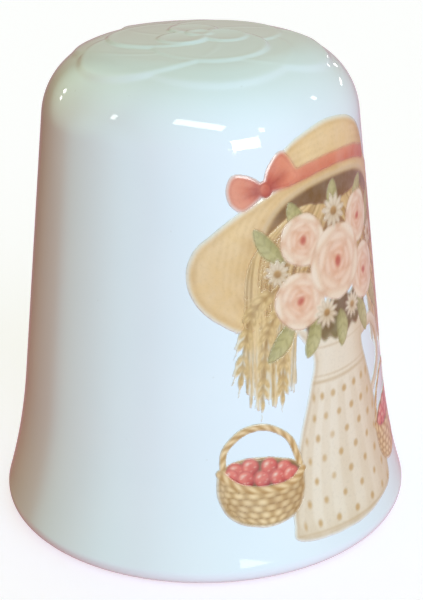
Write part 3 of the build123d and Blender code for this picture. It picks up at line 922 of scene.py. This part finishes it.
class Tree:
    """Node tree of a material or of the world, with shorthand for the nodes used here."""

    def __init__(self, owner):
        owner.use_nodes = True
        self.nodes = owner.node_tree.nodes
        self.link = owner.node_tree.links.new

    def add(self, kind, **values):
        """New node with some of its inputs set."""
        return self.fill(self.nodes.new("ShaderNode" + kind), **values)

    def fill(self, node, **values):
        """Sets inputs of a node; an underscore stands for a space in an input's name."""
        for name, value in values.items():
            node.inputs[name.replace("_", " ")].default_value = value
        return node

    def noise(self, size_mm, detail=2.0, roughness=0.5):
        """Noise of a feature size, in object coordinates."""
        texture = self.add("TexNoise", Scale=1 / (size_mm * MM), Detail=detail, Roughness=roughness)
        self.link(self.add("TexCoord").outputs["Object"], texture.inputs["Vector"])
        return texture.outputs["Fac"]

    def remap(self, value, low, high, to_low, to_high):
        """Value stretched from one range to another, clamped."""
        node = self.add("MapRange", From_Min=low, From_Max=high, To_Min=to_low, To_Max=to_high)
        self.link(value, node.inputs["Value"])
        return node.outputs["Result"]

    def mixed(self, amount, first, second, blend="MIX"):
        """Two colours, each a socket or linear values, mixed by an amount socket."""
        node = self.add("Mix")
        node.data_type = "RGBA"
        node.blend_type = blend
        self.link(amount, node.inputs["Factor"])
        for name, colour in (("A", first), ("B", second)):
            if isinstance(colour, bpy.types.NodeSocket):
                self.link(colour, node.inputs[name])
            else:
                node.inputs[name].default_value = (*colour, 1.0)
        return node.outputs["Result"]


class Surface(Tree):
    """Node tree of a new material round its Principled shader."""

    def __init__(self, name):
        self.material = bpy.data.materials.new(name)
        super().__init__(self.material)
        self.shader = next(node for node in self.nodes if node.type == "BSDF_PRINCIPLED")

    def feed(self, name, socket):
        """Links a socket to an input of the shader."""
        self.link(socket, self.shader.inputs[name])

    def bump(self, height, strength, distance_mm):
        """Bump from a height socket."""
        node = self.add("Bump", Strength=strength, Distance=distance_mm * MM)
        self.link(height, node.inputs["Height"])
        self.feed("Normal", node.outputs["Normal"])

    def gloss(self, smoothest, roughest):
        """The gloss that glaze and ink share: uneven polish, rippled surface."""
        self.feed("Roughness", self.remap(self.noise(1.6, 3.0), 0.3, 0.7, smoothest, roughest))
        self.fill(self.shader, IOR=GLAZE_IOR)
        self.bump(self.noise(2.2, 2.0, 0.4), 0.13, 0.03)


def glaze_material():
    """Porcelain glaze: milky white with faint clouds and pinprick specks."""
    look = Surface("porcelain_glaze")
    clouds = look.remap(look.noise(5.0, 3.0), 0.35, 0.75, 0.0, 0.35)
    colour = look.mixed(clouds, linear(WHITE), linear(GLAZE_SHADE))
    specks = look.remap(look.noise(0.35, 1.0), 0.8, 0.86, 0.0, 0.35)
    look.feed("Base Color", look.mixed(specks, colour, linear(GLAZE_SPECK)))
    look.gloss(0.02, 0.05)
    return look.material


def ink_material(name):
    """Fired-on ink: painted colour with pigment grain, under the same gloss."""
    look = Surface(name)
    painted = look.add("VertexColor")
    painted.layer_name = "ink"
    wash = look.remap(look.noise(0.9, 4.0, 0.6), 0.35, 0.75, 0.0, 0.1)
    colour = look.mixed(wash, painted.outputs["Color"], linear(PAPER_LIGHT))
    grain = look.remap(look.noise(0.16, 2.0, 0.7), 0.5, 0.8, 0.0, 0.09)
    look.feed("Base Color", look.mixed(grain, colour, linear(PIGMENT_DARK)))
    look.gloss(0.03, 0.07)
    return look.material


def bisque_material():
    """Matte unglazed porcelain with a fine chalky grain."""
    look = Surface("bisque")
    mottling = look.remap(look.noise(1.2, 4.0), 0.3, 0.7, 0.0, 0.6)
    colour = look.mixed(mottling, linear(BISQUE), linear(BISQUE_WARM))
    grit = look.remap(look.noise(0.12, 2.0), 0.62, 0.78, 0.0, 0.4)
    look.feed("Base Color", look.mixed(grit, colour, linear(BISQUE_GREY)))
    look.feed("Roughness", look.remap(look.noise(0.4, 2.0), 0.3, 0.7, 0.55, 0.8))
    look.bump(look.noise(0.1, 3.0, 0.6), 0.5, 0.02)
    return look.material


# ---- the object
def dress(piece, material, slot, *nodes):
    """Gives a piece its material, rides it on the body, and stands it for its CAD nodes. The slot is not
    used.
    """
    piece.data.materials.append(material)
    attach(piece, "root")
    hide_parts(*nodes)


def build_object():
    """The porcelain, its two coats of glaze, and one film of ink for each motif."""
    glaze = glaze_material()
    dress(make_bisque(), bisque_material(), "bisque", "porcelain_body")
    dress(make_outer_glaze(), glaze, "glaze", "outer_glaze")
    dress(make_inner_glaze(), glaze, "glaze", "inner_glaze")
    art = paint()
    grid = settled_grid(art)
    for motif, slot in SLOTS.items():
        dress(film(art, grid, motif), ink_material("ink_" + motif), slot, "print_" + motif)


# ---- studio
CAMERA_AZIMUTH = -47.0
CAMERA_ELEVATION = 21.55
CAMERA_DISTANCE = 78.5
CAMERA_ROLL = 0.63
AIM = (0.46, -1.68)  # to the right of and above the middle of the object, mm
PICTURE_HEIGHT = 600
FOCAL_PIXELS = 1445.8
SENSOR = 24.0
BACKDROP = (0.97, 0.97, 0.97)
FLOOR_TONE = (0.66, 0.58, 0.77)  # undoes the tint of the light on the floor
FLOOR_GLOW = 0.55
FLOOR_REACH = 1500.0

# soft glows that light the object: azimuth from the camera's, elevation, where the glow begins and where it
# is full (cosine of the angle from its middle), linear colour
LIT_FROM_ALL_SIDES = (0.285, 0.135, 0.11)
LIT_FROM = {
    "front": (23, 22, 0.75, 0.99, (1.64, 2.15, 2.88)),
    "left": (-98, 30, 0.3, 0.98, (0.22, 0.04, 0.01)),
    "right": (110, -15, 0.2, 1.0, (0.12, 0.1, 0.12)),
    "back": (172, 5, 0.5, 0.95, (0.75, 1.05, 1.2)),
    "top": (0, 90, 0.1, 0.95, (0.09, 0.44, 0.06)),
    "under": (25, -32, 0.7, 1.0, (1.05, 1.3, 1.42)),
}

# soft glows that the glaze mirrors
MIRRORED_ON_ALL_SIDES = (0.11, 0.02, 0.02)
MIRRORED = {
    "front": (-10, 30, 0.0, 0.9, (0.34, 1.0, 1.15)),
    "left": (-74, -10, 0.76, 0.98, (0.62, 1.5, 1.6)),
    "left_high": (-112, 28, 0.72, 0.98, (1.0, 1.6, 1.35)),
    "right": (92, 10, 0.3, 0.9, (0.18, 0.1, 0.12)),
    "back_right": (148, 5, 0.35, 0.9, (0.38, 0.26, 0.33)),
    "top": (0, 90, 0.1, 0.95, (0.05, 0.1, 0.7)),
    "under": (0, -90, 0.1, 0.95, (0.5, 0.2, 0.2)),
}

# lamps that the glaze mirrors: azimuth from the camera's, elevation, width and height (degrees), turn,
# radiance, distance (mm)
LAMPS = {
    "strip": (-0.8, 36.5, 34, 8, -19, 7, 250),
    "window": (30, 8.2, 19.5, 14.5, 5, 8, 120),
    "window_low": (27.2, -1.2, 20, 1.3, 0, 4, 1000),
    "spot_right": (44.1, 21.1, 4, 5.5, 0, 8, 250),
    "spot_left": (-69.6, 30.7, 4, 6, 0, 8, 250),
    "back_left_high": (-128.7, 18.1, 3, 3, 0, 7, 250),
    "back_left_low": (-126.5, 13, 3, 2.6, 0, 7, 250),
    "back_right_far": (154.8, 9.7, 3, 2.4, 0, 5, 250),
    "back_right": (139.6, 12.3, 6, 2.2, 0, 5, 250),
    "side_right": (103.3, 30.5, 4, 4, 0, 8, 250),
}


def towards(azimuth, elevation):
    """Unit vector from the object; azimuth 0 is -Y."""
    flat = cosd(elevation)
    return Vector((sind(azimuth) * flat, -cosd(azimuth) * flat, sind(elevation)))


def place_camera():
    """Camera of the photograph's view, fitted to the outline of the object."""
    data = bpy.data.cameras.new("camera")
    data.sensor_fit = "VERTICAL"
    data.sensor_height = SENSOR
    data.lens = FOCAL_PIXELS / PICTURE_HEIGHT * SENSOR
    data.clip_start = 0.001
    camera = placed("camera", data)
    bpy.context.scene.camera = camera
    back = towards(CAMERA_AZIMUTH, CAMERA_ELEVATION)
    right = Vector((0, 0, 1)).cross(back).normalized()
    up = back.cross(right)
    middle = Vector((0, 0, HEIGHT / 2)) * MM
    spot = middle + back * CAMERA_DISTANCE * MM
    aim = middle + (right * AIM[0] + up * AIM[1]) * MM
    look = (spot - aim).normalized()
    right = Vector((0, 0, 1)).cross(look).normalized()
    turn = Matrix((right, look.cross(right), look)).transposed().to_4x4()
    camera.matrix_world = Matrix.Translation(spot) @ turn @ Matrix.Rotation(radians(-CAMERA_ROLL), 4, "Z")


def lamp(name, azimuth, elevation, width, height, turn, radiance, distance):
    """Rectangular lamp that is only mirrored in the glaze."""
    data = bpy.data.lights.new(name, "AREA")
    data.shape = "RECTANGLE"
    data.size = radians(width) * distance * MM
    data.size_y = radians(height) * distance * MM
    data.energy = radiance * pi * data.size * data.size_y
    light = placed(name, data)
    out = towards(CAMERA_AZIMUTH + azimuth, elevation)
    light.location = (Vector((0, 0, HEIGHT / 2)) + out * distance) * MM
    facing = out.to_track_quat("Z", "Y").to_matrix() @ Matrix.Rotation(radians(turn), 3, "Z")
    light.rotation_euler = facing.to_euler()
    light.visible_camera = False
    light.visible_diffuse = False


def glows(tree, base, table):
    """Colour of the surroundings by direction: an even base with soft glows added."""
    place = tree.add("TexCoord").outputs["Generated"]
    total = base
    for azimuth, elevation, begins, full, colour in table.values():
        facing = tree.add("VectorMath")
        facing.operation = "DOT_PRODUCT"
        tree.link(place, facing.inputs[0])
        facing.inputs[1].default_value = towards(CAMERA_AZIMUTH + azimuth, elevation)
        share = tree.remap(facing.outputs["Value"], begins, full, 0.0, 1.0)
        share.node.interpolation_type = "SMOOTHSTEP"
        total = tree.mixed(share, total, colour, "ADD")
    return total


def make_world():
    """Soft surroundings: one table of glows lights the object, the other is mirrored in it, and the camera
    sees a pale backdrop."""
    world = bpy.data.worlds.new("studio")
    bpy.context.scene.world = world
    tree = Tree(world)
    kind = tree.add("LightPath").outputs
    lit = glows(tree, LIT_FROM_ALL_SIDES, LIT_FROM)
    mirrored = glows(tree, MIRRORED_ON_ALL_SIDES, MIRRORED)
    seen = tree.mixed(kind["Is Camera Ray"], tree.mixed(kind["Is Glossy Ray"], lit, mirrored), BACKDROP)
    tree.link(seen, tree.nodes["Background"].inputs["Color"])


def make_floor():
    """Plain pale floor. It is only seen: the surroundings below the horizon light the object instead."""
    low, high = -FLOOR_REACH, FLOOR_REACH
    corners = [(low, low, 0), (high, low, 0), (high, high, 0), (low, high, 0)]
    floor = mesh_object("floor", corners, [(0, 1, 2, 3)])
    look = Surface("floor")
    look.fill(look.shader, Base_Color=(*FLOOR_TONE, 1), Roughness=0.9, Specular_IOR_Level=0.0,
                 Emission_Color=(1, 1, 1, 1), Emission_Strength=FLOOR_GLOW)
    floor.data.materials.append(look.material)
    floor.visible_diffuse = False
    floor.visible_glossy = False
    floor.visible_shadow = False


def build_studio():
    """Surroundings, floor, camera and mirrored lamps."""
    make_world()
    make_floor()
    place_camera()
    for name, lamp_facts in LAMPS.items():
        lamp(name, *lamp_facts)
    bpy.context.scene.view_settings.view_transform = "Standard"


build_object()
build_studio()
